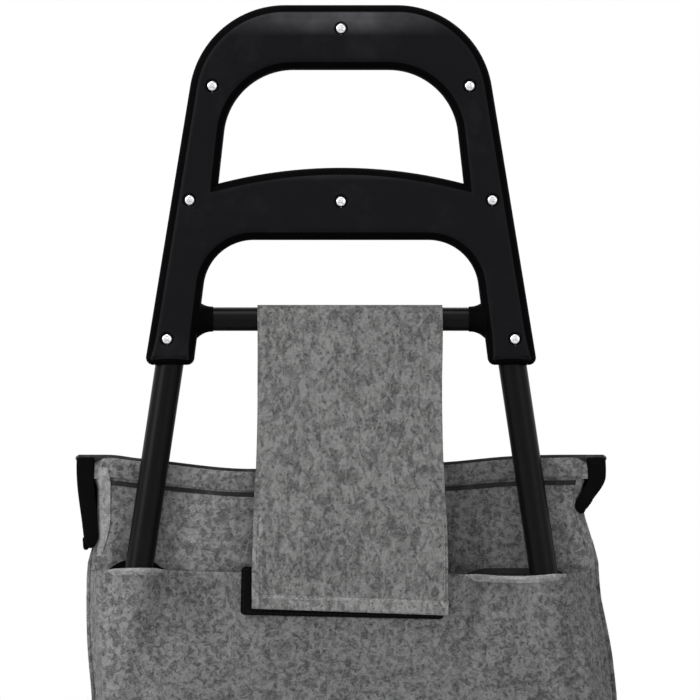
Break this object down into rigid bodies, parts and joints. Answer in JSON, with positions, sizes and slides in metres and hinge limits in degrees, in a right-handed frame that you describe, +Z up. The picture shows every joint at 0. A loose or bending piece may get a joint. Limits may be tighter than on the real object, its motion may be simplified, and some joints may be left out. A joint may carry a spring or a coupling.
{
  "type": "shopping trolley",
  "caption": "Upright two-wheeled shopping trolley: tube frame with a double-grip handle, a tall lidded fabric bag and a fold-up platform with a foot.",
  "frame": {"origin": "on the floor, under the middle of the whole trolley's bounding box, platform down and lid closed", "axes": "+Z up; the user stands at -Y and the bag lies towards +Y; +X is to the right of the user, who looks along +Y"},
  "size_m": [0.4334, 0.34, 0.975],
  "materials": {
    "handle_plastic": "fine satin moulding grain, black",
    "painted_tube": "gloss black paint on steel",
    "zinc_steel": "bright zinc",
    "moulded_black": "matt black moulding",
    "wheel_plastic": "matt dark grey moulding",
    "tyre_rubber": "matt black rubber",
    "nylon": "natural nylon",
    "grey_fabric": "lined woven polyester, grey melange",
    "black_tape": "black woven tape"
  },
  "bodies": {
    "frame": {"handle_rear_shell": "handle_plastic", "handle_front_shell": "handle_plastic", "upper_grip_screw": "zinc_steel", "lower_grip_screw": "zinc_steel", "right_upper_screw": "zinc_steel", "left_upper_screw": "zinc_steel", "right_middle_screw": "zinc_steel", "left_middle_screw": "zinc_steel", "right_lower_screw": "zinc_steel", "left_lower_screw": "zinc_steel", "crossbar": "painted_tube", "right_upright": "painted_tube", "left_upright": "painted_tube", "lower_brace": "painted_tube", "right_axle_bracket": "moulded_black", "left_axle_bracket": "moulded_black", "axle": "zinc_steel", "right_axle_spacer": "nylon", "left_axle_spacer": "nylon", "right_axle_cap": "moulded_black", "left_axle_cap": "moulded_black", "right_pivot_bolt": "zinc_steel", "left_pivot_bolt": "zinc_steel", "bag_body": "grey_fabric", "rear_sleeve": "grey_fabric", "front_pocket": "grey_fabric", "bag_loop_patch": "black_tape", "hanging_loop": "grey_fabric", "sleeve_loop_patch": "black_tape"},
    "right_wheel": {"right_wheel_bush": "nylon", "right_wheel_rim": "wheel_plastic", "right_tyre": "tyre_rubber"},
    "left_wheel": {"left_wheel_bush": "nylon", "left_wheel_rim": "wheel_plastic", "left_tyre": "tyre_rubber"},
    "platform": {"platform_frame": "painted_tube", "platform_wire_1": "painted_tube", "platform_wire_2": "painted_tube", "platform_wire_3": "painted_tube", "platform_wire_4": "painted_tube", "right_hinge_ear": "painted_tube", "left_hinge_ear": "painted_tube", "foot_loop": "painted_tube", "right_foot_pad": "moulded_black", "left_foot_pad": "moulded_black", "base_board": "moulded_black"},
    "lid": {"lid": "grey_fabric", "right_lid_binding": "black_tape", "left_lid_binding": "black_tape", "lid_hook_patch": "black_tape"},
    "loop_tab": {"hanging_loop_tab": "grey_fabric", "tab_hook_patch": "black_tape"}
  },
  "joints": [
    {"name": "right_wheel_spin", "type": "hinge", "parent": "frame", "child": "right_wheel", "pos_m": [0.1924, -0.09034, 0.07962], "axis": [1, 0, 0], "continuous": true},
    {"name": "left_wheel_spin", "type": "hinge", "parent": "frame", "child": "left_wheel", "pos_m": [-0.1924, -0.09034, 0.07962], "axis": [1, 0, 0], "continuous": true},
    {"name": "platform_fold", "type": "hinge", "parent": "frame", "child": "platform", "pos_m": [0, -0.09034, 0.12762], "axis": [1, 0, 0], "range_deg": [0, 90], "deforming": ["bag_body", "front_pocket"]},
    {"name": "lid_hinge", "type": "hinge", "parent": "frame", "child": "lid", "pos_m": [0, -0.07384, 0.6703], "axis": [1, 0, 0], "range_deg": [0, 85]},
    {"name": "tab_peel", "type": "hinge", "parent": "frame", "child": "loop_tab", "pos_m": [0, -0.10114, 0.76265], "axis": [-1, 0, 0], "range_deg": [0, 150]}
  ]
}
